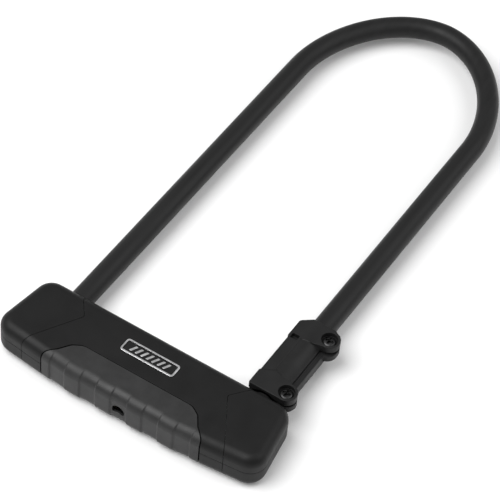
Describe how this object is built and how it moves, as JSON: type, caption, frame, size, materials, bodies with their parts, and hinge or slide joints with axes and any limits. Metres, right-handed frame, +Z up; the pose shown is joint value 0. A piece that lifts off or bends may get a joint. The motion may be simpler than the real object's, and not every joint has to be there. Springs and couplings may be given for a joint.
{
  "type": "u lock",
  "caption": "U-shaped bicycle lock: a long sleeved steel shackle held in a covered crossbar by bolts that a key cylinder drives, with a carrying bracket clamped on its leg.",
  "frame": {"origin": "centre of the lock's footprint, on the surface that its underside lies on", "axes": "+Y from the crossbar to the bend of the shackle, +X towards the leg with the bracket, +Z up out of the face with the badge"},
  "size_m": [0.171, 0.368, 0.0229],
  "materials": {
    "cover_plastic": "fine moulded texture",
    "grip_rubber": "soft satin grip",
    "seal_rubber": "matt",
    "badge_metal": "bright satin",
    "badge_enamel": "gloss",
    "bar_steel": "zinc plated",
    "hardened_steel": "hardened and plated",
    "cylinder_brass": "machined",
    "sleeve_vinyl": "soft vinyl",
    "bracket_plastic": "moulded",
    "screw_black": "black zinc"
  },
  "bodies": {
    "lock_body": {"centre_cover_upper": "cover_plastic", "centre_cover_lower": "cover_plastic", "left_cap_upper": "cover_plastic", "left_cap_lower": "cover_plastic", "right_cap_upper": "cover_plastic", "right_cap_lower": "cover_plastic", "grip_pad": "grip_rubber", "left_leg_seal": "seal_rubber", "right_leg_seal": "seal_rubber", "badge_rim": "badge_metal", "badge_plate": "badge_enamel", "crossbar_tube": "bar_steel", "left_end_plug": "bar_steel", "right_end_plug": "bar_steel", "cylinder_housing": "cylinder_brass", "retaining_pin": "hardened_steel", "left_bolt_guide": "bar_steel", "right_bolt_guide": "bar_steel"},
    "shackle": {"shackle_bar": "hardened_steel", "shackle_sleeve": "sleeve_vinyl", "bracket_upper": "bracket_plastic", "bracket_lower": "bracket_plastic", "bracket_liner": "seal_rubber", "bracket_screw_1": "screw_black", "bracket_screw_2": "screw_black", "bracket_nut_1": "bar_steel", "bracket_nut_2": "bar_steel"},
    "rotor": {"disc_carrier": "cylinder_brass", "sidebar": "hardened_steel", "detainer_disc_1": "cylinder_brass", "detainer_disc_2": "cylinder_brass", "detainer_disc_3": "cylinder_brass", "detainer_disc_4": "cylinder_brass", "detainer_disc_5": "cylinder_brass", "detainer_disc_6": "cylinder_brass", "disc_spacer_1": "bar_steel", "disc_spacer_2": "bar_steel", "disc_spacer_3": "bar_steel", "disc_spacer_4": "bar_steel", "disc_spacer_5": "bar_steel", "drill_guard": "hardened_steel", "drive_cam": "hardened_steel", "retaining_clip": "bar_steel"},
    "left_bolt_body": {"left_bolt": "hardened_steel"},
    "right_bolt_body": {"right_bolt": "hardened_steel"}
  },
  "joints": [
    {"name": "shackle_slide", "type": "slide", "parent": "lock_body", "child": "shackle", "axis": [0, 1, 0], "range_m": [0, 0.06]},
    {"name": "cylinder_turn", "type": "hinge", "parent": "lock_body", "child": "rotor", "pos_m": [0, -0.16837, 0.0114], "axis": [0, 1, 0], "range_deg": [0, 90]},
    {"name": "left_bolt_slide", "type": "slide", "parent": "lock_body", "child": "left_bolt_body", "axis": [-1, 0, 0], "range_m": [0, 0.00651]},
    {"name": "right_bolt_slide", "type": "slide", "parent": "lock_body", "child": "right_bolt_body", "axis": [1, 0, 0], "range_m": [0, 0.00651]}
  ],
  "couplings": [
    {"joint": "left_bolt_slide", "follows": "cylinder_turn", "m_per_rad": 0.0041415},
    {"joint": "right_bolt_slide", "follows": "cylinder_turn", "m_per_rad": 0.0041415}
  ]
}
